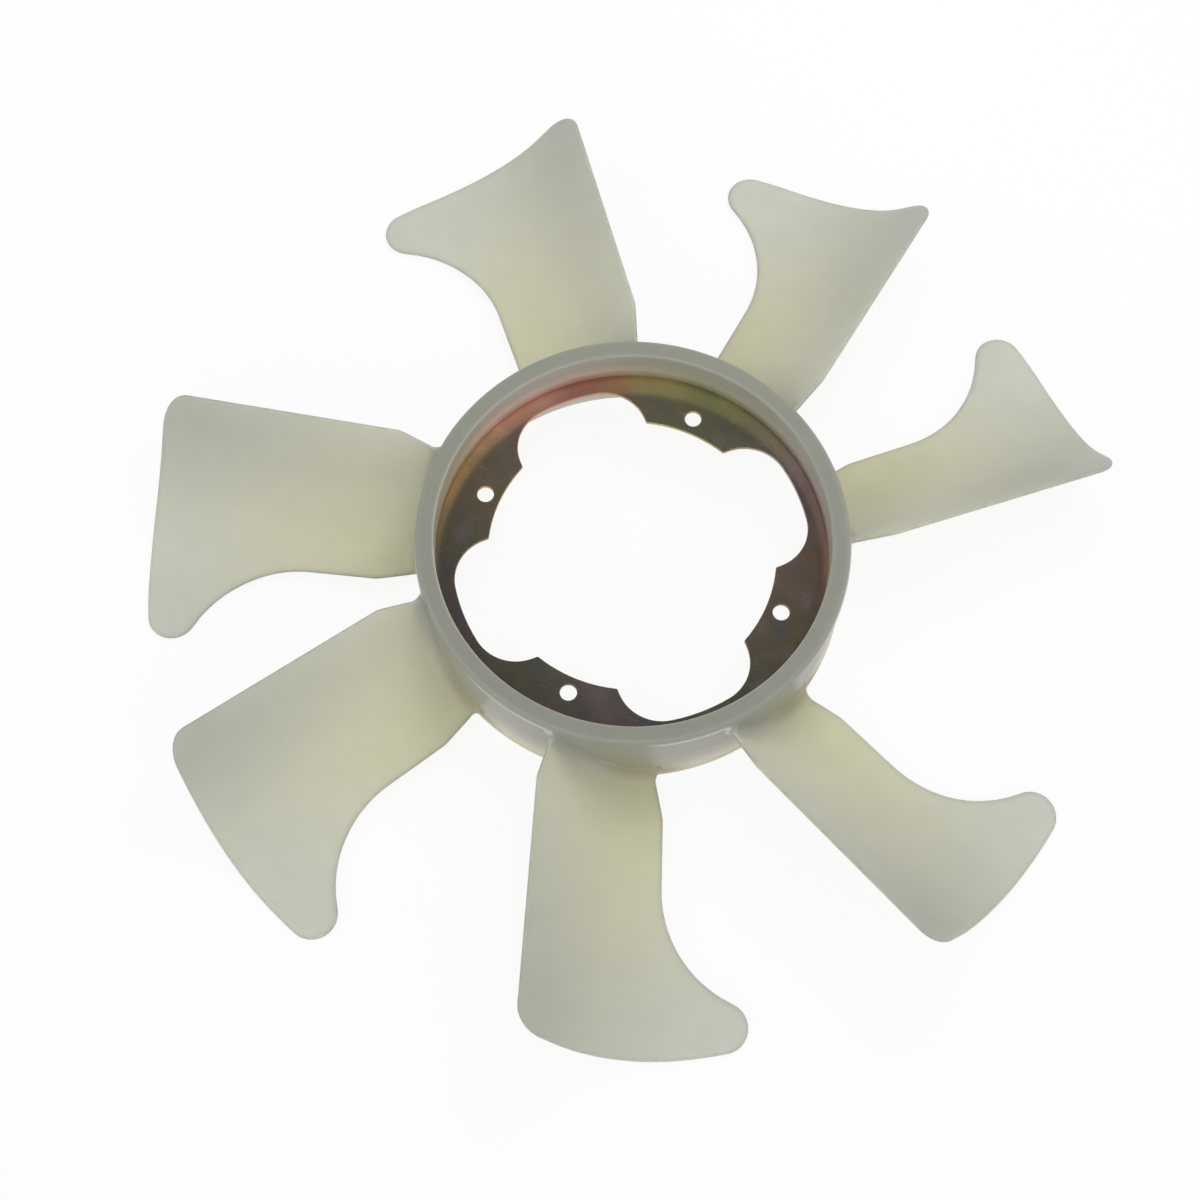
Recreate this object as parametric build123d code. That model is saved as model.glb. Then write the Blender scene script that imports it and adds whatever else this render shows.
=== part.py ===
from build123d import *
import math
import os

# Axial fan wheel: one nylon moulding (hub ring and seven blades) over a stamped steel mounting plate.
# Millimetres and degrees. The origin is the centre of the bolt circle on the plate's front face.
# +Z is the fan's axis and points out of its front, and one bolt hole lies on +X.

# Steel plate
bolt_circle_diameter = 130.0
bolt_count = 4
bolt_hole_diameter = 6.8
plate_thickness = 1.6
pilot_land = 3.1
lobe_land = 6.7
lobe_width = 54.8
lobe_corner_radius = 18.0
tab_corner_radius = 0.8

# Hub ring
ring_outer_diameter = 173.6
ring_wall = 7.3
ring_rear_wall = 5.1
ring_front_height = 18.2
ring_rear_depth = 25.7
plate_seat_depth = 3.0
plate_shelf_height = 3.2
rim_outer_rounding = 1.8
rim_bore_rounding = 1.2
rear_rounding = 0.4

# Shallow panels in the ring's outer wall, one between each two blades
panel_depth = 0.7
panel_below_front = 4.0
panel_margin = 4.0

# Blades: each angle is the way that the straight leading edge points
fan_diameter = 401.0
blade_angles = [41.2, 81.8, 129.0, 193.2, 236.7, 289.0, 336.3]
blade_thickness = 2.4
leading_offset = 30.0
leading_drop = 1.0
flank_angle = 55.5
camber_radius = 60.0
trough_drop = 6.0
trough_pitch = 3.6

# Blade outline, seen along the axis
trailing_offset = 19.9
trailing_slope = 2.7
concave_radius = 48.5
toe_height = 48.4
toe_radius = 10.2
tip_corner_radius = 9.8
root_length = 18.5
root_taper = 12.3
root_fillet = 3.0

# Sizes that follow from the ones above
bolt_circle_radius = bolt_circle_diameter / 2
ring_outer_radius = ring_outer_diameter / 2
ring_bore_radius = ring_outer_radius - ring_wall
ring_rear_bore_radius = ring_outer_radius - ring_rear_wall
plate_outer_radius = ring_bore_radius + plate_seat_depth
pilot_radius = bolt_circle_radius - bolt_hole_diameter / 2 - pilot_land
lobe_radius = ring_bore_radius - lobe_land
leading_height = ring_front_height - leading_drop
trough_height = -ring_rear_depth - trough_drop
kink_radius = ring_outer_radius + root_length
fan_radius = fan_diameter / 2
blade_start = (ring_outer_radius + plate_outer_radius) / 2
sheet_start = math.sqrt(blade_start**2 - leading_offset**2) - blade_thickness
panel_top = ring_front_height - panel_below_front
far_outside = 2 * fan_radius
touching = 0.01


def plate_opening():
    """The centre opening: the pilot circle, and four lobes between the bolt holes."""
    opening = Sketch() + Circle(pilot_radius)
    for turn in (45, 135):
        lobes = Circle(lobe_radius) & Rectangle(2 * lobe_radius, lobe_width)
        lobes = fillet(lobes.vertices(), lobe_corner_radius)
        opening += Rot(0, 0, turn) * lobes
    return opening


def make_plate():
    """The stamped plate: a flat ring with four tabs, one bolt hole in each."""
    blank = Sketch() + Circle(plate_outer_radius)
    blank -= plate_opening()
    blank -= PolarLocations(bolt_circle_radius, bolt_count) * Circle(bolt_hole_diameter / 2)
    plate = extrude(blank, -plate_thickness)
    upright = plate.edges().filter_by(Axis.Z).filter_by(GeomType.LINE)
    between = (pilot_radius + lobe_radius) / 2
    corners = [edge for edge in upright if math.hypot(edge.center().X, edge.center().Y) < between]
    return fillet(corners, tab_corner_radius)


def make_ring():
    """The hub ring, revolved, with the groove that holds the plate's edge. Its seam lies between two blades."""
    outline = Polyline(
        (ring_bore_radius, ring_front_height),
        (ring_bore_radius, 0),
        (plate_outer_radius, 0),
        (plate_outer_radius, -plate_thickness),
        (ring_bore_radius, -plate_thickness),
        (ring_bore_radius, -plate_thickness - plate_shelf_height),
        (ring_rear_bore_radius, -ring_rear_depth),
        (ring_outer_radius, -ring_rear_depth),
        (ring_outer_radius, ring_front_height),
        close=True,
    )
    section = make_face(outline)
    section = fillet(section.vertices().group_by(Axis.Y)[0], rear_rounding)
    section = fillet(section.vertices().group_by(Axis.Y)[-1].sort_by(Axis.X)[-1], rim_outer_rounding)
    bore_rim = section.vertices().sort_by_distance((ring_bore_radius, ring_front_height))[0]
    section = fillet(bore_rim, rim_bore_rounding)
    seam = (blade_angles[2] + blade_angles[3]) / 2
    return Rot(0, 0, seam) * revolve(Plane.XZ * section, Axis.Z)


def blade_sheet(above=0, below=blade_thickness):
    """A straight channel that the blades are cut from: a flank, an arc of the camber radius and a flat trough.

    It reaches from above the blade's front face to below it, and its flank runs on past the leading edge.
    Its lines climb towards the hub, and drift sideways by what keeps the leading edge level.
    """
    lean = math.radians(flank_angle)
    depth = leading_height - trough_height
    flank = (depth - camber_radius * (1 - math.cos(lean))) / math.sin(lean)
    downhill = Vector(math.cos(lean), -math.sin(lean))
    outward = Vector(-math.sin(lean), -math.cos(lean))
    middle = Vector(-math.sin(lean / 2), -math.cos(lean / 2))
    leading_edge = Vector(-leading_offset, leading_height)
    centre = leading_edge + downhill * flank - outward * camber_radius

    def face(offset):
        """The front end, the bend's start, middle and end, and the toe of the face at this offset."""
        radius = camber_radius + offset
        start = leading_edge - downhill * leading_offset + outward * offset
        bend = centre + outward * radius
        trough = centre - Vector(0, radius)
        return start, bend, centre + middle * radius, trough, Vector(fan_radius, trough.Y)

    upper = face(-above)
    lower = face(below)
    outline = Curve() + [
        Line(upper[0], upper[1]),
        ThreePointArc(upper[1], upper[2], upper[3]),
        Line(upper[3], upper[4]),
        Line(upper[4], lower[4]),
        Line(lower[4], lower[3]),
        ThreePointArc(lower[3], lower[2], lower[1]),
        Line(lower[1], lower[0]),
        Line(lower[0], upper[0]),
    ]
    climb = math.tan(math.radians(trough_pitch))
    inwards = Vector(-1, -climb / math.tan(lean), climb)
    section = Plane.YZ.offset(fan_radius) * make_face(outline)
    return extrude(section, (fan_radius - sheet_start) * inwards.length, dir=inwards)


def blade_outline():
    """The blade's outline seen along the axis, with its leading edge along X."""
    slope = math.radians(trailing_slope)
    taper = math.radians(root_taper)
    along = Vector(math.cos(slope), math.sin(slope))
    upright = Vector(-math.sin(slope), math.cos(slope))
    leading_kink = Vector(math.sqrt(kink_radius**2 - leading_offset**2), -leading_offset)
    leading_root = Vector(sheet_start, (leading_kink.X - sheet_start) * math.tan(taper) - leading_offset)
    trailing_kink = Vector(math.sqrt(kink_radius**2 - trailing_offset**2), trailing_offset)
    root_drop = (trailing_kink.X - sheet_start) * math.tan(slope + taper)
    trailing_root = Vector(sheet_start, trailing_offset - root_drop)
    toe_centre = Vector(math.sqrt((fan_radius - toe_radius) ** 2 - toe_height**2), toe_height)
    to_toe = toe_centre - trailing_kink
    rise = to_toe.dot(upright)
    reach = math.sqrt((concave_radius + toe_radius) ** 2 - (concave_radius - rise) ** 2)
    hollow_start = trailing_kink + along * (to_toe.dot(along) - reach)
    hollow_centre = hollow_start + upright * concave_radius
    inward = (toe_centre - hollow_centre).normalized()
    outward = toe_centre.normalized()
    hollow_middle = hollow_centre + (inward - upright).normalized() * concave_radius
    hollow_end = hollow_centre + inward * concave_radius
    toe_middle = toe_centre + (outward - inward).normalized() * toe_radius
    toe_end = toe_centre + outward * toe_radius
    tip_corner = Vector(math.sqrt(fan_radius**2 - leading_offset**2), -leading_offset)
    outline = Curve() + [
        Line(trailing_root, trailing_kink),
        Line(trailing_kink, hollow_start),
        ThreePointArc(hollow_start, hollow_middle, hollow_end),
        ThreePointArc(hollow_end, toe_middle, toe_end),
        ThreePointArc(toe_end, Vector(fan_radius, 0), tip_corner),
        Line(tip_corner, leading_kink),
        Line(leading_kink, leading_root),
        Line(leading_root, trailing_root),
    ]
    face = make_face(outline)
    return fillet(face.vertices().sort_by_distance(tip_corner)[0], tip_corner_radius)


def make_blade(ring):
    """One blade with its leading edge along X, and with the fillets that carry its front into the ring."""
    column = Pos(0, 0, -far_outside / 2) * extrude(blade_outline(), far_outside)
    blade = blade_sheet() & column - Cylinder(blade_start, far_outside)

    def on_wall(edge):
        """Whether an edge's middle lies on the ring's outer wall, on the blade's side of the hub."""
        middle = edge @ 0.5
        return middle.X > 0 and abs(math.hypot(middle.X, middle.Y) - ring_outer_radius) < touching

    rooted = ring + blade
    root = rooted.edges().filter_by(on_wall)
    leading_line = root.filter_by(GeomType.LINE).sort_by(Axis.Z)[-1]
    flank_curve = root.filter_by(GeomType.ELLIPSE).sort_by(Axis.Z)[-1]
    camber_curve = root.filter_by(GeomType.BSPLINE).sort_by(Axis.Z)[-1]
    return fillet([leading_line, flank_curve, camber_curve], root_fillet) - ring


def make_panels():
    """What is cut from the ring's outer wall: a band, less a margin round the root of every blade."""
    top_to_end = panel_top + ring_rear_depth + panel_margin
    band = Cylinder(ring_outer_radius + panel_margin, top_to_end)
    band -= Cylinder(ring_outer_radius - panel_depth, top_to_end)
    panels = Pos(0, 0, panel_top - top_to_end / 2) * band
    trailing_limit = trailing_offset + panel_margin
    near_root = Box(far_outside, far_outside, far_outside)
    near_root = Pos(far_outside / 2, trailing_limit - far_outside / 2, 0) * near_root
    guard = blade_sheet(panel_margin, blade_thickness + panel_margin) & near_root
    for angle in blade_angles:
        panels -= Rot(0, 0, angle) * guard
    return panels


if __name__ == "__main__":
    ring = make_ring()
    blade = make_blade(ring)
    fan = ring
    for angle in blade_angles:
        fan += Rot(0, 0, angle) * blade
    fan -= make_panels()
    os.makedirs("parts", exist_ok=True)
    export_step(fan, "parts/fan_moulding.step")
    export_step(make_plate(), "parts/hub_insert.step")
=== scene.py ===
import bmesh
import bpy
import numpy as np
from mathutils import Matrix, Vector


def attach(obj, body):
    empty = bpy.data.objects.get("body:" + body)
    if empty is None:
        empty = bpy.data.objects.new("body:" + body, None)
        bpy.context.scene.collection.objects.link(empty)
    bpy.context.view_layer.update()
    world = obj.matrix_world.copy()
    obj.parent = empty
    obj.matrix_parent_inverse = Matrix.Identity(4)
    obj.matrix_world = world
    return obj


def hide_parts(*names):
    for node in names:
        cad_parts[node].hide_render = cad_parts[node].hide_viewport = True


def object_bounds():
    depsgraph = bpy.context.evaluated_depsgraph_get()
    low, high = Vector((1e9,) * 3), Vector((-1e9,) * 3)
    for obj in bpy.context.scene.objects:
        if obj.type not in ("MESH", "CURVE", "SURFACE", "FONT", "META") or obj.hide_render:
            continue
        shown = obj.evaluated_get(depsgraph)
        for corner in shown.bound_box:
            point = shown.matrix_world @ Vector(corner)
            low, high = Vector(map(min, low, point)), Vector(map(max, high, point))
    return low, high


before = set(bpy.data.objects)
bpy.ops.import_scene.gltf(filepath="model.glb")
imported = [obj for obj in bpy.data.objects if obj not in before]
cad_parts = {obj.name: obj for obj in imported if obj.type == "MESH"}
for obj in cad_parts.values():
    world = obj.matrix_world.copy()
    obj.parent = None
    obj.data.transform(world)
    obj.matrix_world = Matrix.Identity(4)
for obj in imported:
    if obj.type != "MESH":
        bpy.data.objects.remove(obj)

cad_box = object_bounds()


# The mounting plate is 1.6 mm sheet steel, blanked and pierced in one stroke, then zinc plated and
# passivated in yellow chromate. Its outer edge lies in a groove of the nylon ring, because it was laid into
# the mould. The shape is the frame's own, with its sheared edges broken a little, as tumbling leaves them.
mm = 0.001
weld_distance = 0.01 * mm
flat_angle = np.radians(1.0)
sharp_angle = np.radians(50.0)
broken_edge = 0.18 * mm

plate_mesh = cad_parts["hub_insert"].data.copy()
plate_mesh.materials.clear()
welder = bmesh.new()
welder.from_mesh(plate_mesh)
bmesh.ops.remove_doubles(welder, verts=welder.verts, dist=weld_distance)
bmesh.ops.dissolve_limit(welder, angle_limit=flat_angle, verts=welder.verts, edges=welder.edges)
welder.to_mesh(plate_mesh)
welder.free()
plate = bpy.data.objects.new("mounting_plate", plate_mesh)
bpy.context.scene.collection.objects.link(plate)
plate_edges = plate.modifiers.new("broken_edges", "BEVEL")
plate_edges.width = broken_edge
plate_edges.segments = 2
plate_edges.limit_method = "ANGLE"
plate_edges.angle_limit = sharp_angle
plate_edges.harden_normals = True


def linear(colour):
    """An sRGB hex colour as linear RGBA: each channel through the sRGB curve."""
    channels = np.array([int(colour[i:i + 2], 16) for i in (1, 3, 5)]) / 255
    values = np.where(channels <= 0.04045, channels / 12.92, ((channels + 0.055) / 1.055) ** 2.4)
    return (*values, 1.0)


def add(tree, kind, inputs=None, stops=(), **settings):
    """Adds a node. Settings are its properties, inputs maps a socket to its value or to the output that it
    reads, and stops are the places and sRGB hex colours of a colour ramp."""
    node = tree.nodes.new(kind)
    for name, value in settings.items():
        setattr(node, name, value)
    for socket, value in (inputs or {}).items():
        if isinstance(value, bpy.types.NodeSocket):
            tree.links.new(value, node.inputs[socket])
        else:
            node.inputs[socket].default_value = value
    for place, _ in stops[1:-1]:
        node.color_ramp.elements.new(place)
    for i, (place, colour) in enumerate(stops):
        node.color_ramp.elements[i].position = place
        node.color_ramp.elements[i].color = linear(colour)
    return node


# Yellow chromate on zinc: a thin film over a mirror. Its thickness drifts round the plate, so that what it
# mirrors turns from gold through pink to olive. A grey bloom lies over it, with fine scuffs that show gold.
# The scuffs are drawn wider than real ones, so that they show.
cloud_size = 14.0 * mm
film_drift = 0.06
tint_in_bloom = 0.1
scuff_length = 9.0 * mm
scuff_slenderness = 14.0
scuff_turn = 0.5

chromate = bpy.data.materials.new("yellow_chromated_steel")
chromate.use_nodes = True
tree = chromate.node_tree
tree.nodes.clear()
place = add(tree, "ShaderNodeTexCoord").outputs["Object"]
split = add(tree, "ShaderNodeSeparateXYZ", {"Vector": place})
azimuth = add(tree, "ShaderNodeMath", {0: split.outputs["Y"], 1: split.outputs["X"]}, operation="ARCTAN2")
turn = add(tree, "ShaderNodeMapRange", {"Value": azimuth.outputs[0], "From Min": -np.pi, "From Max": np.pi})
cloud = add(tree, "ShaderNodeTexNoise", {
    "Vector": place, "Scale": 1 / cloud_size, "Detail": 5.0}).outputs["Fac"]
drift = add(tree, "ShaderNodeMapRange", {
    "Value": cloud, "To Min": -film_drift, "To Max": film_drift}).outputs["Result"]
film = add(tree, "ShaderNodeMath", {0: turn.outputs["Result"], 1: drift}, operation="ADD").outputs[0]
hue = add(tree, "ShaderNodeValToRGB", {"Fac": film}, [
    (0.00, "#E8B870"), (0.05, "#A89A66"), (0.12, "#A88496"), (0.20, "#969068"), (0.29, "#C49CAA"),
    (0.40, "#8E8A66"), (0.48, "#B0906C"), (0.56, "#D89A7C"), (0.62, "#A88490"), (0.67, "#B09A8A"),
    (0.73, "#A8A860"), (0.80, "#D2C278"), (0.84, "#D0846C"), (0.89, "#E49A8A"), (0.94, "#FFBE9C"),
    (0.97, "#C8AC6A"), (1.00, "#E8B870")]).outputs["Color"]
bloom_tone = add(tree, "ShaderNodeValToRGB", {"Fac": cloud}, [
    (0.35, "#78777A"), (0.50, "#7E7C6C"), (0.65, "#90868A")]).outputs["Color"]
tinted = add(tree, "ShaderNodeMix", {
    0: tint_in_bloom, 6: bloom_tone, 7: hue}, data_type="RGBA").outputs[2]
along = add(tree, "ShaderNodeMapping", {
    "Vector": place, "Rotation": (0, 0, scuff_turn), "Scale": (1.0, scuff_slenderness, 1.0)})
streak = add(tree, "ShaderNodeTexNoise", {
    "Vector": along.outputs[0], "Scale": 1 / scuff_length, "Detail": 4.0})
scuff = add(tree, "ShaderNodeMapRange", {
    "Value": streak.outputs["Fac"], "From Min": 0.65, "From Max": 0.80}).outputs["Result"]
scuffed = add(tree, "ShaderNodeMix", {
    0: scuff, 6: tinted, 7: linear("#C0AC78")}, data_type="RGBA").outputs[2]
bloom = add(tree, "ShaderNodeMapRange", {"Value": scuff, "To Min": 0.32, "To Max": 0.46}).outputs["Result"]
mirror = add(tree, "ShaderNodeBsdfPrincipled", {"Base Color": hue, "Metallic": 1.0, "Roughness": 0.18})
haze = add(tree, "ShaderNodeBsdfDiffuse", {"Color": scuffed})
surface = add(tree, "ShaderNodeMixShader", {0: bloom, 1: mirror.outputs[0], 2: haze.outputs[0]})
add(tree, "ShaderNodeOutputMaterial", {"Surface": surface.outputs[0]})
plate_mesh.materials.append(chromate)
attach(plate, "root")
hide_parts("hub_insert")


# The wheel is one shot of natural, unfilled nylon 6: a hub ring and seven blades at uneven angles, which
# spreads the fan's tone. Its edges are rounded, the blades run into the ring with hollow fillets, and the
# ring's outer wall has a shallow panel between each two blades, with a fine raised line round it.
ring_bore_radius = 79.5 * mm
ring_rear_bore_radius = 81.7 * mm
ring_outer_radius = 86.8 * mm
ring_front = 18.2 * mm
ring_rear = -25.7 * mm
plate_outer_radius = 82.5 * mm
plate_rear = -1.6 * mm
shelf_end = -4.8 * mm
fan_radius = 200.5 * mm
blade_angles = np.radians([41.2, 81.8, 129.0, 193.2, 236.7, 289.0, 336.3])
half_thickness = 1.2 * mm
edge_radius = 0.85 * mm
thinned_width = 3.8 * mm
leading_offset = 30.0 * mm
leading_height = 17.2 * mm
lean = np.radians(55.5)
camber_radius = 60.0 * mm
trough_height = -31.7 * mm
climb = np.tan(np.radians(3.6))
trailing_offset = 19.9 * mm
panel_depth = 0.7 * mm
panel_line_height = 0.6 * mm


def middle_surface(x, y):
    """Height and unit normal of the blade's middle surface over plan points.

    The section is a flank at the lean angle, an arc of the camber radius and a level trough. It is carried
    along a straight line that climbs towards the hub and drifts sideways, so that the leading edge stays
    level.
    """
    radius = camber_radius + half_thickness
    trough = trough_height - half_thickness
    front = leading_height - half_thickness * np.cos(lean)
    bend = front - trough - radius * (1 - np.cos(lean))
    axis_y = -leading_offset - half_thickness * np.sin(lean) + bend / np.tan(lean) + radius * np.sin(lean)
    inwards = fan_radius - x
    across = y + climb / np.tan(lean) * inwards
    sine = np.clip((across - axis_y) / radius, -np.sin(lean), 0)
    cosine = np.sqrt(1 - sine**2)
    straight = np.minimum(across - axis_y + radius * np.sin(lean), 0)
    height = trough + radius * (1 - cosine) - straight * np.tan(lean) + climb * inwards
    slope_y = sine / cosine
    slope_x = -slope_y * climb / np.tan(lean) - climb
    normal = np.stack([-slope_x, -slope_y, np.ones_like(x)], -1)
    return height, normal / np.linalg.norm(normal, axis=-1, keepdims=True)


def blade_outline():
    """The blade's plan outline as dense points, from the leading root out and round to the trailing root,
    and the radius at which the toe's arc meets the hollow's.

    Straight lines joined by arcs: the root tapers, the leading edge, the tip corner, the tip on the fan's
    circle, the toe, the hollow behind the toe, and the trailing edge.
    """
    slope = np.radians(2.7)
    hollow_radius = 48.5 * mm
    toe_height = 48.4 * mm
    toe_radius = 10.2 * mm
    corner_radius = 9.8 * mm
    kink_radius = 105.3 * mm
    taper = np.radians(12.3)
    start_x = 74.0 * mm
    points_each = 200
    along = np.array([np.cos(slope), np.sin(slope)])
    upright = np.array([-np.sin(slope), np.cos(slope)])
    lead_kink = np.array([np.sqrt(kink_radius**2 - leading_offset**2), -leading_offset])
    lead_root = np.array([start_x, -leading_offset + (lead_kink[0] - start_x) * np.tan(taper)])
    trail_kink = np.array([np.sqrt(kink_radius**2 - trailing_offset**2), trailing_offset])
    trail_root = np.array([start_x, trailing_offset - (trail_kink[0] - start_x) * np.tan(slope + taper)])
    toe = np.array([np.sqrt((fan_radius - toe_radius) ** 2 - toe_height**2), toe_height])
    corner_y = -leading_offset + corner_radius
    corner = np.array([np.sqrt((fan_radius - corner_radius) ** 2 - corner_y**2), corner_y])
    to_toe = toe - trail_kink
    reach = np.sqrt((hollow_radius + toe_radius) ** 2 - (hollow_radius - to_toe @ upright) ** 2)
    hollow_start = trail_kink + along * (to_toe @ along - reach)
    hollow = hollow_start + upright * hollow_radius
    toe_angle = np.arctan2(toe[1], toe[0])
    corner_angle = np.arctan2(corner[1], corner[0])
    meet_angle = np.arctan2(hollow[1] - toe[1], hollow[0] - toe[0])
    meet = toe + (hollow - toe) * toe_radius / (hollow_radius + toe_radius)

    def line(start, end):
        """Even points along a straight line, without its end."""
        share = np.linspace(0, 1, points_each)[:-1, None]
        return start + (end - start) * share

    def arc(centre, radius, start, end):
        """Even points along an arc, without its end."""
        angle = np.linspace(start, end, points_each)[:-1]
        return centre + radius * np.stack([np.cos(angle), np.sin(angle)], -1)

    lead_end = corner - [0, corner_radius]
    return np.concatenate([
        line(lead_root, lead_kink),
        line(lead_kink, lead_end),
        arc(corner, corner_radius, -np.pi / 2, corner_angle),
        arc(np.zeros(2), fan_radius, corner_angle, toe_angle),
        arc(toe, toe_radius, toe_angle, meet_angle),
        arc(hollow, hollow_radius, meet_angle - np.pi, slope - np.pi / 2),
        line(hollow_start, trail_kink),
        line(trail_kink, trail_root),
        trail_root[None],
    ]), np.hypot(*meet)


def blade_shell():
    """One closed blade with its leading edge along X, as a grid of points and its quads.

    Columns leave the outline in pairs of equal radius and meet on the blade's spine, where both sides have
    the mean angle. Each column runs over the front face, round the edge in a half circle, and back over the
    rear face. Beside the edge the blade gets thinner by a parabola. Near the ring all points move along the
    ring's wall by a quarter circle: the root fillet.
    """
    rows = 46
    crowding = 1.6
    cap_columns = 56
    round_points = 10
    far_points = 7
    close_places = np.array([1.0, 0.7, 0.42, 0.18])
    root_radius = ring_outer_radius - 1.4 * mm
    soften = 1.5 * mm
    front_fillet = 8.0 * mm
    other_fillet = 2.0 * mm

    outline, cap_radius = blade_outline()
    radii = np.hypot(*outline.T)
    length = np.concatenate([[0], np.cumsum(np.hypot(*np.diff(outline, axis=0).T))])
    tip = int(np.argmax(radii > cap_radius))
    toe = len(radii) - int(np.argmax(radii[::-1] > cap_radius))
    steps = root_radius + (cap_radius - root_radius) * (np.arange(rows) / (rows - 1)) ** crowding
    lead = np.interp(steps, radii[:tip], length[:tip])
    trail = np.interp(steps, radii[:toe - 1:-1], length[:toe - 1:-1])
    cap = np.linspace(lead[-1], trail[-1], cap_columns + 2)[1:-1]
    at = np.concatenate([lead, cap, trail[::-1]])
    x = np.interp(at, length, outline[:, 0])
    y = np.interp(at, length, outline[:, 1])
    ahead = np.stack([np.interp(at + soften, length, outline[:, i]) for i in (0, 1)], -1)
    behind = np.stack([np.interp(at - soften, length, outline[:, i]) for i in (0, 1)], -1)
    plan_tangent = ahead - behind
    height, normal = middle_surface(x, y)
    rise = -(normal[:, 0] * plan_tangent[:, 0] + normal[:, 1] * plan_tangent[:, 1]) / normal[:, 2]
    tangent = np.column_stack([plan_tangent, rise])
    tangent /= np.linalg.norm(tangent, axis=1, keepdims=True)
    outward = np.cross(tangent, normal)
    rim = np.column_stack([x, y, height]) - outward * edge_radius

    edge_slope = 2 * (half_thickness - edge_radius) / thinned_width
    turn = np.linspace(np.pi / 2 - edge_slope, edge_slope - np.pi / 2, round_points)
    round_normal = outward[:, None] * np.cos(turn)[:, None] + normal[:, None] * np.sin(turn)[:, None]
    edge = rim[:, None] + round_normal * edge_radius

    rim_radius = np.hypot(rim[:, 0], rim[:, 1])
    rim_angle = np.arctan2(rim[:, 1], rim[:, 0])
    spine_angle = (rim_angle[:rows] + rim_angle[:-rows - 1:-1]) / 2
    spine_radius = (rim_radius[:rows] + rim_radius[:-rows - 1:-1]) / 2
    pick = np.concatenate([np.arange(rows), np.full(len(cap), rows - 1), np.arange(rows)[::-1]])
    span = np.hypot(rim_radius - spine_radius[pick], rim_radius * (rim_angle - spine_angle[pick]))[:, None]
    close = thinned_width * close_places / span
    far = close[:, :1] + (1 - close[:, :1]) * np.linspace(1, 0, far_points + 1)[:-1]
    share = np.concatenate([far, close], axis=1)
    radius = rim_radius[:, None] * (1 - share) + spine_radius[pick][:, None] * share
    angle = rim_angle[:, None] * (1 - share) + spine_angle[pick][:, None] * share
    thinning = (half_thickness - edge_radius) * np.clip(1 - share * span / thinned_width, 0, 1) ** 2
    offset = (half_thickness - thinning)[..., None]
    face_x = radius * np.cos(angle)
    face_y = radius * np.sin(angle)
    face_z, face_normal = middle_surface(face_x, face_y)
    middle = np.stack([face_x, face_y, face_z], -1)
    front = middle + face_normal * offset
    rear = middle - face_normal * offset
    points = np.concatenate([front, edge, rear[:, ::-1]], axis=1)
    normals = np.concatenate([face_normal, round_normal, -face_normal[:, ::-1]], axis=1)

    facing = np.clip(normals[..., 2:], 0, 1)
    fillet = other_fillet + (front_fillet - other_fillet) * facing**2
    distance = np.linalg.norm(points[..., :2], axis=-1, keepdims=True)
    from_wall = np.clip(distance - ring_outer_radius, 0, fillet)
    flare = fillet - np.sqrt(fillet**2 - (fillet - from_wall) ** 2)
    radial = np.concatenate([points[..., :2] / distance, np.zeros_like(distance)], -1)
    along_wall = normals - radial * (normals * radial).sum(-1, keepdims=True)
    along_wall /= np.linalg.norm(along_wall, axis=-1, keepdims=True)
    points = points + along_wall * flare

    columns, across = points.shape[:2]
    index = np.arange(columns * across).reshape(columns, across)
    quads = np.stack([index[:-1, :-1], index[1:, :-1], index[1:, 1:], index[:-1, 1:]], -1).reshape(-1, 4)
    half = across // 2
    ends = []
    for end in (index[0], index[-1]):
        ends.append(np.stack([end[:half - 1], end[1:half], end[::-1][1:half], end[::-1][:half - 1]], -1))
    return points.reshape(-1, 3), np.concatenate([quads, *ends])


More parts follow.
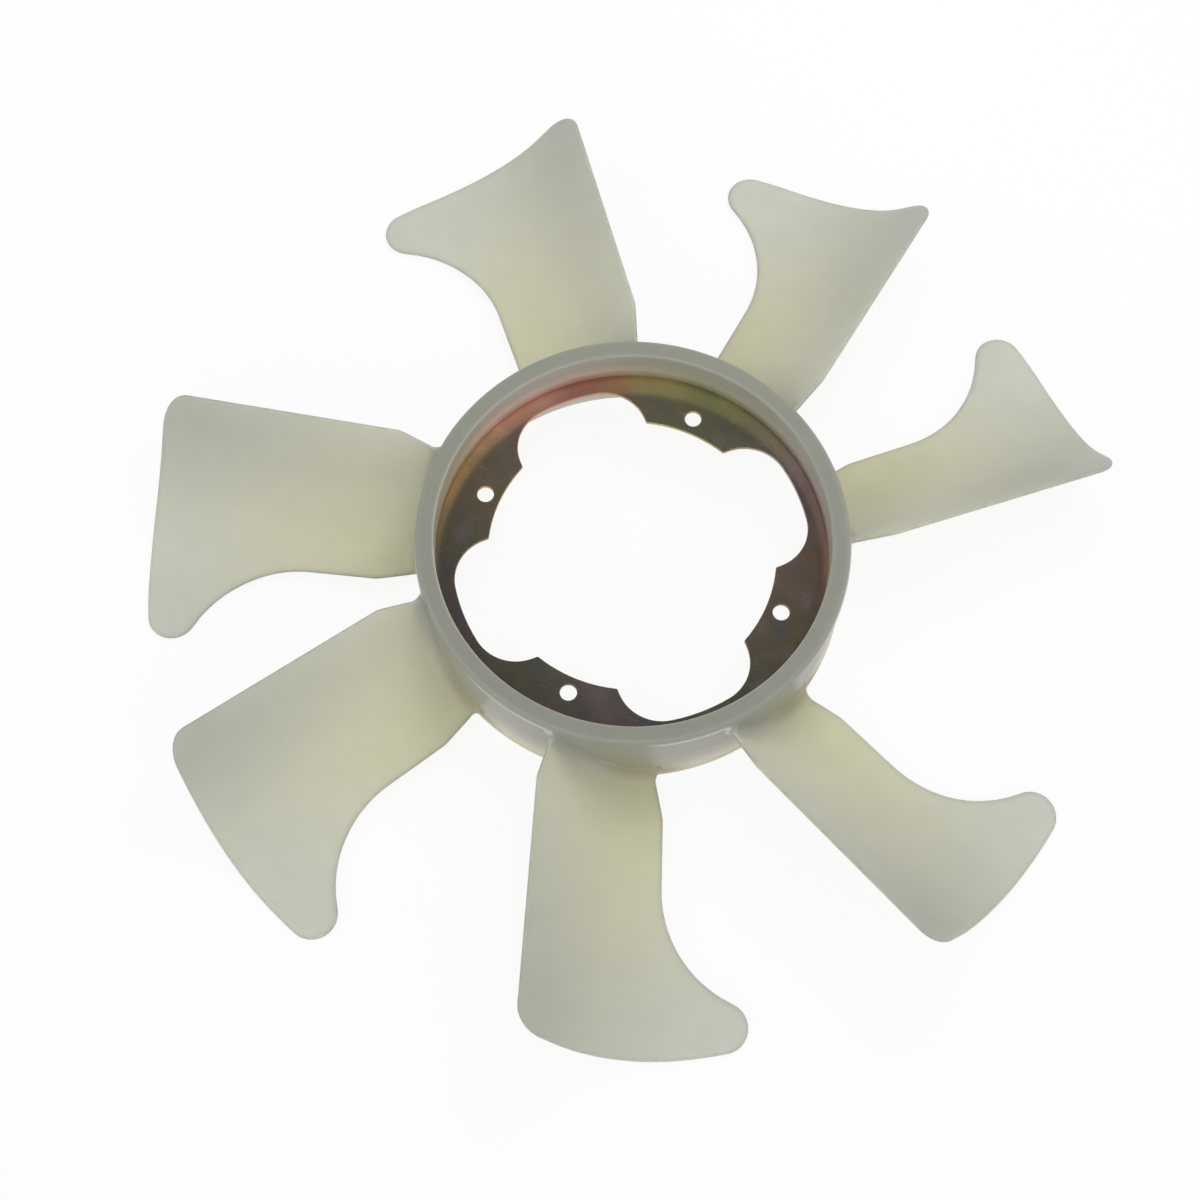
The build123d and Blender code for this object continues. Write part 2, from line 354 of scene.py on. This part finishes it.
def ring_surface():
    """The hub ring as a closed grid: its section's outline, with its corners rounded, turned about the axis.

    Between the blades the outer wall is sunk by the panel's depth and raised by the line's height, by the
    shares that the panel gives.
    """
    fine_band = 7.0 * mm
    rounding_points = 6
    turned_columns = 720
    wall_skin = 0.01 * mm
    # Each corner has its radius, its height, its rounding, and the grid's spacing after it.
    corners = [
        (ring_bore_radius, ring_front, 1.2 * mm, 6.0 * mm),
        (ring_bore_radius, 0.0, 0.0, 3.0 * mm),
        (plate_outer_radius, 0.0, 0.0, 1.6 * mm),
        (plate_outer_radius, plate_rear, 0.0, 3.0 * mm),
        (ring_bore_radius, plate_rear, 0.0, 3.2 * mm),
        (ring_bore_radius, shelf_end, 0.5 * mm, 6.0 * mm),
        (ring_rear_bore_radius, ring_rear, 0.6 * mm, 2.5 * mm),
        (ring_outer_radius, ring_rear, 0.8 * mm, 1.2 * mm),
        (ring_outer_radius, ring_front - fine_band, 0.0, 0.5 * mm),
        (ring_outer_radius, ring_front, 1.8 * mm, 2.0 * mm),
    ]
    section = []
    for i, (radius, height, rounding, spacing) in enumerate(corners):
        following = corners[(i + 1) % len(corners)]
        here = np.array([radius, height])
        back = np.array(corners[i - 1][:2]) - here
        on = np.array(following[:2]) - here
        room = np.linalg.norm(on)
        back = back / np.linalg.norm(back)
        on = on / room
        half_angle = np.arccos(np.clip(back @ on, -1, 1)) / 2
        inset = rounding / np.tan(half_angle)
        if rounding:
            centre = here + (back + on) / np.linalg.norm(back + on) * rounding / np.sin(half_angle)
            start = here + back * inset - centre
            end = here + on * inset - centre
            share = np.linspace(0, 1, rounding_points)[:, None]
            arc = start * (1 - share) + end * share
            section.append(centre + arc / np.linalg.norm(arc, axis=1, keepdims=True) * rounding)
        else:
            section.append(here[None])
        after = np.array(corners[(i + 2) % len(corners)][:2]) - np.array(following[:2])
        turn = np.arccos(np.clip(-on @ (after / np.linalg.norm(after)), -1, 1)) / 2
        next_inset = following[2] / np.tan(turn)
        pieces = max(1, int(np.ceil((room - inset - next_inset) / spacing)))
        share = np.linspace(inset, room - next_inset, pieces + 1)[1:-1, None]
        section.append(here + on * share)
    section = np.concatenate(section)
    turns = np.linspace(0, 2 * np.pi, turned_columns, endpoint=False)
    radius = np.repeat(section[None, :, 0], len(turns), axis=0)
    height = np.repeat(section[None, :, 1], len(turns), axis=0)
    angle = np.repeat(turns[:, None], len(section), axis=1)
    on_wall = radius > ring_outer_radius - wall_skin
    share, line = panel(angle, height)
    radius = radius + np.where(on_wall, panel_line_height * line - panel_depth * share, 0)
    points = np.stack([radius * np.cos(angle), radius * np.sin(angle), height], -1)
    index = np.arange(points.shape[0] * points.shape[1]).reshape(points.shape[:2])
    on_round = np.roll(index, -1, axis=0)
    quads = np.stack([index, on_round, np.roll(on_round, -1, axis=1), np.roll(index, -1, axis=1)], -1)
    return points.reshape(-1, 3), quads.reshape(-1, 4)


def panel(angle, height):
    """For points of the ring's wall, how far each is sunk in a panel, and how high on the line round it.

    A panel is below its top line, beside each blade's leading root, behind its rear face, and clear of its
    trailing side. Above a blade it fades in towards the trailing side. The distances to its sides are joined
    as a smooth minimum, which rounds its corners. The first value is a smooth step over the panel's edge,
    and the second a narrow bell curve just outside it, which fades out beside the blades' trailing roots.
    """
    top = ring_front - 4.0 * mm
    margin = 4.0 * mm
    rear_margin = 2.0 * mm
    corner = 1.6 * mm
    step = 0.7 * mm
    line_width = 0.6 * mm
    line_fade = 6.0 * mm
    clear_height = 8.0 * mm
    fade_in = 14.0 * mm
    root_y = -26.0 * mm
    beside_root = 2.2 * mm
    far_inside = 1.0
    inside_top = top - height
    inside = np.full(np.shape(angle), far_inside)
    shown = np.ones(np.shape(angle))
    kept = np.ones(np.shape(angle))
    for turn in blade_angles:
        x = ring_outer_radius * np.cos(angle - turn)
        y = ring_outer_radius * np.sin(angle - turn)
        middle, normal = middle_surface(x, y)
        above = (height - middle) * normal[..., 2]
        from_surface = np.abs(above) - half_thickness - rear_margin
        from_trailing = y - trailing_offset - margin
        from_root = np.maximum(np.maximum(from_surface, from_trailing), root_y - beside_root - y)
        inside = np.minimum(inside, np.where(x > 0, from_root, far_inside))
        over_blade = (x > 0) & (above > 0) & (y < trailing_offset) & (y > root_y)
        near_trailing = np.clip((y - trailing_offset) / fade_in + 1, 0, 1)
        shown = np.where(over_blade, near_trailing**2 * (3 - 2 * near_trailing), shown)
        off_trailing = np.clip(np.maximum(from_trailing, above - clear_height) / line_fade, 0, 1)
        kept = np.where((x > 0) & (y > 0), np.minimum(kept, off_trailing), kept)
    both = np.stack([corner - inside, corner - inside_top])
    nearest = corner - np.linalg.norm(np.clip(both, 0, None), axis=0)
    share = np.clip(nearest / step + 0.5, 0, 1)
    share = share**2 * (3 - 2 * share)
    line = np.exp(-(((nearest + step / 2 + line_width) / line_width) ** 2))
    return share * shown, line * shown * kept


def new_object(name, points, faces):
    """A mesh object of these points and faces, welded, with its faces turned outwards and shaded smooth."""
    same_place = 0.002 * mm
    mesh = bpy.data.meshes.new(name)
    mesh.from_pydata(points.tolist(), [], faces.tolist())
    weld = bmesh.new()
    weld.from_mesh(mesh)
    bmesh.ops.remove_doubles(weld, verts=weld.verts, dist=same_place)
    bmesh.ops.recalc_face_normals(weld, faces=weld.faces)
    weld.to_mesh(mesh)
    weld.free()
    mesh.shade_smooth()
    made = bpy.data.objects.new(name, mesh)
    bpy.context.scene.collection.objects.link(made)
    return made


shell_points, shell_faces = blade_shell()
all_points = []
all_faces = []
for i, turn in enumerate(blade_angles):
    spin = np.array([[np.cos(turn), np.sin(turn), 0], [-np.sin(turn), np.cos(turn), 0], [0, 0, 1]])
    all_points.append(shell_points @ spin)
    all_faces.append(shell_faces + i * len(shell_points))
blades = new_object("blades", np.concatenate(all_points), np.concatenate(all_faces))
fan = new_object("fan_wheel", *ring_surface())
join = fan.modifiers.new("one_moulding", "BOOLEAN")
join.operation = "UNION"
join.solver = "MANIFOLD"
join.object = blades
graph = bpy.context.evaluated_depsgraph_get()
joined = bpy.data.meshes.new_from_object(fan.evaluated_get(graph))
fan.modifiers.clear()
fan.data = joined
bpy.data.objects.remove(blades)
joined.shade_smooth()


def surface_masks(points):
    """Where each point is, for the painted light and shade: its share across its blade, how near the blade's
    edge, how deep in the root's hollow, and how much painted highlight it gets on a fine line.

    The points beside each blade's middle surface are turned into that blade's frame. The share runs from the
    leading edge to the toe. The edge's nearness, where shade is painted, is a falling exponential of the
    distance to the outline. The hollow, where olive shade is painted, is a bell curve of the distance to the
    corner between the front face and the ring's wall, which fades out towards both of the root's ends. The
    painted highlights lie on the raised line round the panels and on the inner edge of the ring's front
    face, which is faint at the far side.
    """
    root_skin = 1.0 * mm
    beside_blade = 26.0 * mm
    before_leading = 2.0 * mm
    past_toe = 62.0 * mm
    blade_width = 80.0 * mm
    edge_width = 0.8 * mm
    edge_fade = 6.0 * mm
    hollow_width = 4.5 * mm
    hollow_height = 15.0 * mm
    hollow_start = -14.0 * mm
    hollow_fade_in = 18.0 * mm
    hollow_end = 30.0 * mm
    hollow_fade_out = 14.0 * mm
    line_reach = 0.8 * mm
    front_skin = 1.0 * mm
    inner_inset = 0.2 * mm
    inner_width = 0.22 * mm
    inner_highlight = 0.6
    inner_faintest = 0.1

    outline, _ = blade_outline()
    near = outline[outline[:, 0] > ring_outer_radius][::4]
    across = np.zeros(len(points))
    edge = np.zeros(len(points))
    hollow = np.zeros(len(points))
    reach = np.hypot(points[:, 0], points[:, 1])
    off_wall = np.clip(reach - ring_outer_radius, 0, None)
    for turn in blade_angles:
        x = points[:, 0] * np.cos(turn) + points[:, 1] * np.sin(turn)
        y = points[:, 1] * np.cos(turn) - points[:, 0] * np.sin(turn)
        height, normal = middle_surface(x, y)
        above = (points[:, 2] - height) * normal[:, 2]
        mine = (x > 0) & (reach > ring_outer_radius - root_skin) & (np.abs(above) < beside_blade)
        mine &= (y > -leading_offset - before_leading) & (y < past_toe)
        x = x[mine]
        y = y[mine]
        above = above[mine]
        from_wall = off_wall[mine]
        across[mine] = np.clip((y + leading_offset) / blade_width, 0, 1)
        gap = np.hypot(x[:, None] - near[:, 0], y[:, None] - near[:, 1]).min(axis=1)
        edge[mine] = np.exp(-gap / edge_width) * np.clip(from_wall / edge_fade, 0, 1)
        faded = np.clip((y - hollow_start) / hollow_fade_in, 0, 1)
        faded = faded * np.clip((hollow_end - y) / hollow_fade_out, 0, 1)
        from_corner = np.hypot(from_wall / hollow_width, (above - half_thickness) / hollow_height)
        hollow[mine] = np.exp(-(from_corner**2)) * faded * (above > 0)
    _, line = panel(np.arctan2(points[:, 1], points[:, 0]), points[:, 2])
    line = line * (np.abs(reach - ring_outer_radius) < line_reach)
    # A painted highlight along the inner edge of the ring's front face, fainter at the far side.
    inner_edge_highlight = np.exp(-(((reach - ring_bore_radius - inner_inset) / inner_width) ** 2))
    inner_edge_highlight = inner_edge_highlight * (points[:, 2] > ring_front - front_skin)
    near_side = np.clip(0.5 - points[:, 1] / np.maximum(reach, mm), inner_faintest, 1)
    line = np.maximum(line, inner_highlight * near_side * inner_edge_highlight)
    return {"across": across, "edge": edge, "hollow": hollow, "line": line}


vertices = np.empty(len(joined.vertices) * 3)
joined.vertices.foreach_get("co", vertices)
for name, values in surface_masks(vertices.reshape(-1, 3)).items():
    joined.attributes.new(name, "FLOAT", "POINT").data.foreach_set("value", values)

# Natural nylon: milky and a little see-through, satin from the mould. Thin blades look cream, and thick
# parts of the ring grey green, because light gets out of them only after a longer way. The root hollows get
# painted olive shade, and light, shade and highlights are painted in other places below.
bore_skin = 0.4 * mm
plate_bounce_height = 11.0 * mm
inner_stretch = 115.0 * mm
outer_stretch = 185.0 * mm
root_blend = 6.0 * mm
# Shares of the painted shade on the blades' edges and in the root hollows, and of the painted highlight on
# the lines.
edge_shade = 0.8
hollow_shade = 0.7
line_highlight = 0.8
mottle_size = 11.0 * mm
grain_size = 0.6 * mm
grain_depth = 0.02 * mm
light_reach = 4.0 * mm

nylon = bpy.data.materials.new("natural_nylon")
nylon.use_nodes = True
tree = nylon.node_tree
tree.nodes.clear()
place = add(tree, "ShaderNodeTexCoord").outputs["Object"]
split = add(tree, "ShaderNodeSeparateXYZ", {"Vector": place})
flat = add(tree, "ShaderNodeVectorMath", {0: place, 1: (1, 1, 0)}, operation="MULTIPLY").outputs["Vector"]
reach = add(tree, "ShaderNodeVectorMath", {0: flat}, operation="LENGTH").outputs["Value"]
# The ring is grey green at its front face and paler down to cream at its rear edge: painted light from the
# floor below.
deep = add(tree, "ShaderNodeMapRange", {
    "Value": split.outputs["Z"], "From Min": ring_rear, "From Max": ring_front}).outputs["Result"]
ring_tone = add(tree, "ShaderNodeValToRGB", {"Fac": deep}, [
    (0.0, "#E0D8C2"), (0.13, "#D0CABA"), (0.30, "#B4B1A5"), (0.50, "#A09F95"), (0.80, "#98998E"),
    (0.97, "#92938A"), (1.0, "#909187")]).outputs["Color"]

# Painted light thrown back by the chromated plate below: the bore's wall is paler close above it, tinted
# pink and gold.
azimuth = add(tree, "ShaderNodeMath", {0: split.outputs["Y"], 1: split.outputs["X"]}, operation="ARCTAN2")
turn = add(tree, "ShaderNodeMapRange", {"Value": azimuth.outputs[0], "From Min": -np.pi, "From Max": np.pi})
plate_bounce_tone = add(tree, "ShaderNodeValToRGB", {"Fac": turn.outputs["Result"]}, [
    (0.0, "#C8B898"), (0.15, "#B8B0A2"), (0.45, "#B6B0A4"), (0.62, "#BAB2A4"), (0.76, "#BAB8A2"),
    (0.86, "#E6CABC"), (0.95, "#FCE0D4"), (1.0, "#CEBC9A")]).outputs["Color"]
in_bore = add(tree, "ShaderNodeMath", {0: reach, 1: ring_bore_radius + bore_skin}, operation="LESS_THAN")
near_plate = add(tree, "ShaderNodeMapRange", {
    "Value": split.outputs["Z"], "From Min": 0.0, "From Max": plate_bounce_height, "To Min": 0.8, "To Max": 0.1})
plate_bounce_share = add(tree, "ShaderNodeMath", {
    0: in_bore.outputs[0], 1: near_plate.outputs["Result"]}, operation="MULTIPLY")
ring_tone = add(tree, "ShaderNodeMix", {
    0: plate_bounce_share.outputs[0], 6: ring_tone, 7: plate_bounce_tone}, data_type="RGBA").outputs[2]

# A blade is paler at its toe and greyer at its leading edge and rim, the more so the further out. This is
# painted
# light and shade: the low toe is painted lighter, the steep leading flank and the rounded edges darker.
across = add(tree, "ShaderNodeAttribute", attribute_name="across").outputs["Fac"]
inner_tone = add(tree, "ShaderNodeValToRGB", {"Fac": across}, [
    (0.0, "#C0C0B0"), (0.25, "#C8C7B0"), (0.5, "#CDCCAE"), (0.75, "#D2D1BA"),
    (1.0, "#D4D4C6")]).outputs["Color"]
outer_tone = add(tree, "ShaderNodeValToRGB", {"Fac": across}, [
    (0.1, "#B0B0A6"), (0.4, "#C0C0B2"), (0.75, "#CACABE"), (1.0, "#CBCBC1")]).outputs["Color"]
outwards = add(tree, "ShaderNodeMapRange", {
    "Value": reach, "From Min": inner_stretch, "From Max": outer_stretch}).outputs["Result"]
blade_tone = add(tree, "ShaderNodeMix", {
    0: outwards, 6: inner_tone, 7: outer_tone}, data_type="RGBA").outputs[2]
# Painted shade along the blade's rounded edges.
edge = add(tree, "ShaderNodeAttribute", attribute_name="edge").outputs["Fac"]
edge_shade_share = add(tree, "ShaderNodeMath", {0: edge, 1: edge_shade}, operation="MULTIPLY").outputs[0]
blade_tone = add(tree, "ShaderNodeMix", {
    0: edge_shade_share, 6: blade_tone, 7: linear("#96988E")}, data_type="RGBA").outputs[2]
off_ring = add(tree, "ShaderNodeMapRange", {
    "Value": reach, "From Min": ring_outer_radius, "From Max": ring_outer_radius + root_blend},
    interpolation_type="SMOOTHSTEP").outputs["Result"]
tone = add(tree, "ShaderNodeMix", {0: off_ring, 6: ring_tone, 7: blade_tone}, data_type="RGBA").outputs[2]

# Painted olive shade in the root hollows, and painted highlights on the fine raised lines and the ring's
# inner edge.
hollow = add(tree, "ShaderNodeAttribute", attribute_name="hollow").outputs["Fac"]
hollow_shade_share = add(tree, "ShaderNodeMath", {0: hollow, 1: hollow_shade}, operation="MULTIPLY").outputs[0]
tone = add(tree, "ShaderNodeMix", {
    0: hollow_shade_share, 6: tone, 7: linear("#868258")}, data_type="RGBA").outputs[2]
line = add(tree, "ShaderNodeAttribute", attribute_name="line").outputs["Fac"]
line_highlight_share = add(tree, "ShaderNodeMath", {0: line, 1: line_highlight}, operation="MULTIPLY").outputs[0]
tone = add(tree, "ShaderNodeMix", {
    0: line_highlight_share, 6: tone, 7: linear("#D8D6CE")}, data_type="RGBA").outputs[2]

# The gloss and the shade vary a little over the surface. The mould's fine grain is drawn coarse, to show.
mottle = add(tree, "ShaderNodeTexNoise", {
    "Vector": place, "Scale": 1 / mottle_size, "Detail": 4.0}).outputs["Fac"]
satin = add(tree, "ShaderNodeMapRange", {"Value": mottle, "To Min": 0.33, "To Max": 0.45}).outputs["Result"]
shade = add(tree, "ShaderNodeMapRange", {"Value": mottle, "To Min": 0.96, "To Max": 1.04}).outputs["Result"]
tone = add(tree, "ShaderNodeVectorMath", {0: tone, "Scale": shade}, operation="SCALE").outputs["Vector"]
grain = add(tree, "ShaderNodeTexNoise", {
    "Vector": place, "Scale": 1 / grain_size, "Detail": 2.0}).outputs["Fac"]
skin = add(tree, "ShaderNodeBump", {
    "Height": grain, "Strength": 0.12, "Distance": grain_depth}).outputs["Normal"]
surface = add(tree, "ShaderNodeBsdfPrincipled", {
    "Base Color": tone, "Roughness": satin, "Normal": skin, "IOR": 1.53, "Specular IOR Level": 0.35,
    "Subsurface Weight": 0.5, "Subsurface Radius": (1.0, 0.95, 0.8), "Subsurface Scale": light_reach})
add(tree, "ShaderNodeOutputMaterial", {"Surface": surface.outputs["BSDF"]})
joined.materials.clear()
joined.materials.append(nylon)
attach(fan, "root")
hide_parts("fan_moulding")


# The studio: a white floor that the toes stand on, and a white surround that is brighter towards one side.
# A large soft light stands on the camera's left, a smaller one low on the same side picks out the edges, and
# another hangs above the wheel.
floor_half = 20.0
rest_height = cad_box[0].z
floor_white = 0.9
side_strength = 0.55
side_azimuth = np.radians(303.0)
# Each lamp has its name, its place, its power in watts, its width, and whether glossy surfaces mirror it.
lamps = [
    ("key", (-0.7, -0.9, 1.5), 2.0, 1.2, True),
    ("top", (0.05, 0.3, 0.6), 1.9, 0.4, False),
    ("edge", (-1.13, -0.56, 0.98), 2.0, 0.3, True),
]


def sees_surround(tree):
    """One for camera, glossy and transmission rays, which see the surround itself, and nought for the rays
    that light the wheel: the highest of the three kinds."""
    rays = add(tree, "ShaderNodeLightPath")
    seen = add(tree, "ShaderNodeMath", {
        0: rays.outputs["Is Camera Ray"], 1: rays.outputs["Is Glossy Ray"]}, operation="MAXIMUM")
    return add(tree, "ShaderNodeMath", {
        0: seen.outputs[0], 1: rays.outputs["Is Transmission Ray"]}, operation="MAXIMUM").outputs[0]


# Nine tenths of the floor's white is its own, for the rays that see it. The rest shows the wheel's shadow.
floor_corners = floor_half * np.array([[-1, -1, 0], [1, -1, 0], [1, 1, 0], [-1, 1, 0]])
floor = new_object("floor", floor_corners + [0, 0, rest_height], np.array([[0, 1, 2, 3]]))
paper = bpy.data.materials.new("white_paper")
paper.use_nodes = True
tree = paper.node_tree
tree.nodes.clear()
white_share = add(tree, "ShaderNodeMath", {0: sees_surround(tree), 1: floor_white}, operation="MULTIPLY")
matt = add(tree, "ShaderNodeBsdfDiffuse", {"Color": linear("#F4F4F4")})
glow = add(tree, "ShaderNodeEmission", {"Color": (1, 1, 1, 1), "Strength": 1.0})
mixed = add(tree, "ShaderNodeMixShader", {0: white_share.outputs[0], 1: matt.outputs[0], 2: glow.outputs[0]})
add(tree, "ShaderNodeOutputMaterial", {"Surface": mixed.outputs[0]})
floor.data.materials.append(paper)

# The surround looks even white, and lights the wheel more from low down and from one side than from above.
world = bpy.data.worlds.new("studio")
bpy.context.scene.world = world
world.use_nodes = True
tree = world.node_tree
tree.nodes.clear()
around = add(tree, "ShaderNodeTexCoord").outputs["Generated"]
upwards = add(tree, "ShaderNodeSeparateXYZ", {"Vector": around})
tent = add(tree, "ShaderNodeMapRange", {
    "Value": upwards.outputs["Z"], "From Min": 0.2, "From Max": 0.9, "To Min": 0.95, "To Max": 0.45})
brighter_side = tuple(side_strength * np.array([np.cos(side_azimuth), np.sin(side_azimuth), 0.0]))
to_side = add(tree, "ShaderNodeVectorMath", {0: around, 1: brighter_side}, operation="DOT_PRODUCT")
wall_light = add(tree, "ShaderNodeMath", {
    0: tent.outputs["Result"], 1: to_side.outputs["Value"]}, operation="ADD")
level = add(tree, "ShaderNodeMix", {0: sees_surround(tree), 2: wall_light.outputs[0], 3: 1.0})
air = add(tree, "ShaderNodeBackground", {"Color": (1, 1, 1, 1), "Strength": level.outputs[0]})
add(tree, "ShaderNodeOutputWorld", {"Surface": air.outputs[0]})

for name, where, power, size, mirrored in lamps:
    lamp = bpy.data.lights.new(name, "AREA")
    lamp.energy = power
    lamp.size = size
    light = bpy.data.objects.new(name, lamp)
    light.location = where
    light.rotation_euler = (-Vector(where)).to_track_quat("-Z", "Y").to_euler()
    light.visible_glossy = mirrored
    bpy.context.scene.collection.objects.link(light)


# A square card of black felt hangs above, where the plate mirrors it to the camera. It keeps the plate dark,
# and it is seen only in mirrors: it takes no light from the wheel and casts no shadow.
card_elevation = np.radians(69.0)
card_azimuth = np.radians(111.6)
card_distance = 1.6
card_half = 0.55
towards = np.array([
    np.cos(card_elevation) * np.cos(card_azimuth),
    np.cos(card_elevation) * np.sin(card_azimuth),
    np.sin(card_elevation)])
card_right = np.cross([0, 0, 1], towards)
card_right /= np.linalg.norm(card_right)
card_up = np.cross(towards, card_right)
card_corners = np.array([
    towards * card_distance + (card_right * across + card_up * upwards) * card_half
    for across, upwards in ((-1, -1), (1, -1), (1, 1), (-1, 1))])
card = new_object("black_card", card_corners, np.array([[0, 1, 2, 3]]))
black = bpy.data.materials.new("black_felt")
black.use_nodes = True
tree = black.node_tree
tree.nodes.clear()
felt = add(tree, "ShaderNodeBsdfDiffuse", {"Color": linear("#0A0A0A")})
add(tree, "ShaderNodeOutputMaterial", {"Surface": felt.outputs[0]})
card.data.materials.append(black)
card.visible_camera = False
card.visible_diffuse = False
card.visible_transmission = False
card.visible_shadow = False


# The camera stands where the photograph was taken from. Its place, its turn and its focal length were found
# by fitting the bolt holes, the ring's edges and the outlines of all seven blades together.
camera_azimuth = np.radians(-68.43)
camera_tilt = np.radians(20.86)
camera_roll = np.radians(1.667)
camera_distance = 986.5 * mm
aim_left = 13.0 * mm
aim_down = 19.2 * mm
image_pixels = 1200
focal_pixels = 2435.2
back = np.array([
    np.sin(camera_tilt) * np.cos(camera_azimuth),
    np.sin(camera_tilt) * np.sin(camera_azimuth),
    np.cos(camera_tilt)])
level_up = np.array([0, 0, 1]) - back * back[2]
level_up /= np.linalg.norm(level_up)
level_right = np.cross(level_up, back)
right = np.cos(camera_roll) * level_right + np.sin(camera_roll) * level_up
up = -np.sin(camera_roll) * level_right + np.cos(camera_roll) * level_up
camera = bpy.data.objects.new("camera", bpy.data.cameras.new("camera"))
camera.data.lens = camera.data.sensor_width * focal_pixels / image_pixels
where = back * camera_distance - right * aim_left - up * aim_down
turned = Matrix(np.column_stack([right, up, back]).tolist()).to_4x4()
camera.matrix_world = Matrix.Translation(where.tolist()) @ turned
bpy.context.scene.collection.objects.link(camera)
bpy.context.scene.camera = camera
bpy.context.scene.view_settings.view_transform = "Standard"
